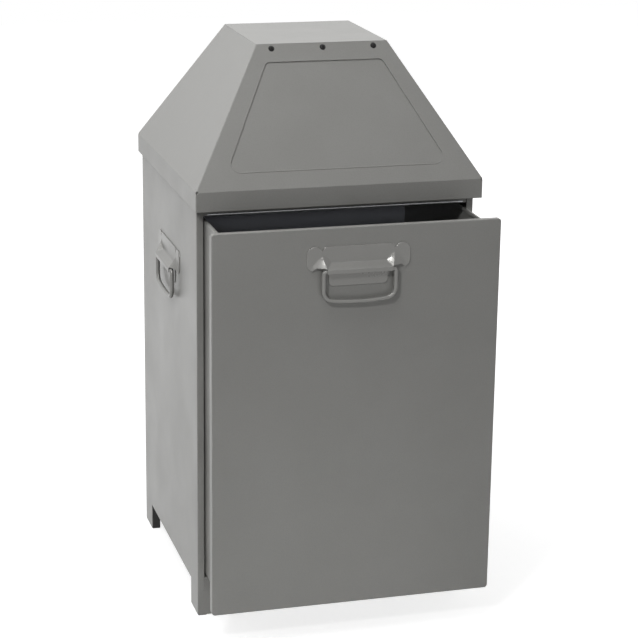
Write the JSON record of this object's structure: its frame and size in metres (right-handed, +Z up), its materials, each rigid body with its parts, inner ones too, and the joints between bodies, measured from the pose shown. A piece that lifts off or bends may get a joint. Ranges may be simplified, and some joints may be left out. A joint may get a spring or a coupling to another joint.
{
  "type": "waste bin",
  "caption": "Free-standing sheet-steel waste bin with a pyramid hood, an inward push flap, a pull-out container and folding drop handles.",
  "frame": {"origin": "on the floor, under the centre of the square hood", "axes": "+Z up, +X to the right as seen from the front, the container pulls out along -Y"},
  "size_m": [0.463, 0.5555, 0.89],
  "materials": {
    "grey_paint": "satin powder coat, fine texture",
    "handle_paint": "satin powder coat over stamped steel and bent bar",
    "zinc_steel": "zinc plated",
    "spring_steel": "oiled spring wire",
    "black_screw": "black oxide",
    "black_rubber": "moulded, matte",
    "glide_plastic": "natural nylon"
  },
  "bodies": {
    "cabinet": {"left_side_panel": "grey_paint", "right_side_panel": "grey_paint", "back_panel": "grey_paint", "base_tray": "grey_paint", "front_plinth": "grey_paint", "front_top_rail": "grey_paint", "left_runner": "zinc_steel", "right_runner": "zinc_steel", "foot_blocks": "black_rubber", "hood_front": "grey_paint", "hood_right": "grey_paint", "hood_back": "grey_paint", "hood_left": "grey_paint", "hood_top": "grey_paint", "hood_frame": "grey_paint", "hood_bolts": "zinc_steel", "hood_nuts": "zinc_steel", "hinge_fixed_leaf": "zinc_steel", "hinge_pin": "zinc_steel", "hinge_screws": "black_screw", "hinge_nuts": "zinc_steel", "flap_spring_left": "spring_steel", "flap_spring_right": "spring_steel", "left_handle_plate": "handle_paint", "right_handle_plate": "handle_paint"},
    "flap": {"flap_panel": "grey_paint", "hinge_moving_leaf": "zinc_steel"},
    "container": {"drawer_front": "grey_paint", "container_left_wall": "grey_paint", "container_right_wall": "grey_paint", "container_back_wall": "grey_paint", "container_floor": "grey_paint", "left_glide": "glide_plastic", "right_glide": "glide_plastic", "front_handle_plate": "handle_paint"},
    "front_bail": {"front_handle_bail": "handle_paint"},
    "left_bail": {"left_handle_bail": "handle_paint"},
    "right_bail": {"right_handle_bail": "handle_paint"}
  },
  "joints": [
    {"name": "container_slide", "type": "slide", "parent": "cabinet", "child": "container", "axis": [0, -1, 0], "range_m": [-0.102, 0.3]},
    {"name": "flap_hinge", "type": "hinge", "parent": "cabinet", "child": "flap", "pos_m": [0, -0.11125, 0.86865], "axis": [1, 0, 0], "range_deg": [0, 65], "stiffness_Nm_per_rad": 0.35, "springref_deg": -74.48},
    {"name": "front_bail_hinge", "type": "hinge", "parent": "container", "child": "front_bail", "pos_m": [0, -0.326, 0.588], "axis": [-1, 0, 0], "range_deg": [0, 90]},
    {"name": "left_bail_hinge", "type": "hinge", "parent": "cabinet", "child": "left_bail", "pos_m": [-0.227, 0, 0.528], "axis": [0, 1, 0], "range_deg": [0, 90]},
    {"name": "right_bail_hinge", "type": "hinge", "parent": "cabinet", "child": "right_bail", "pos_m": [0.227, 0, 0.528], "axis": [0, -1, 0], "range_deg": [0, 90]}
  ]
}
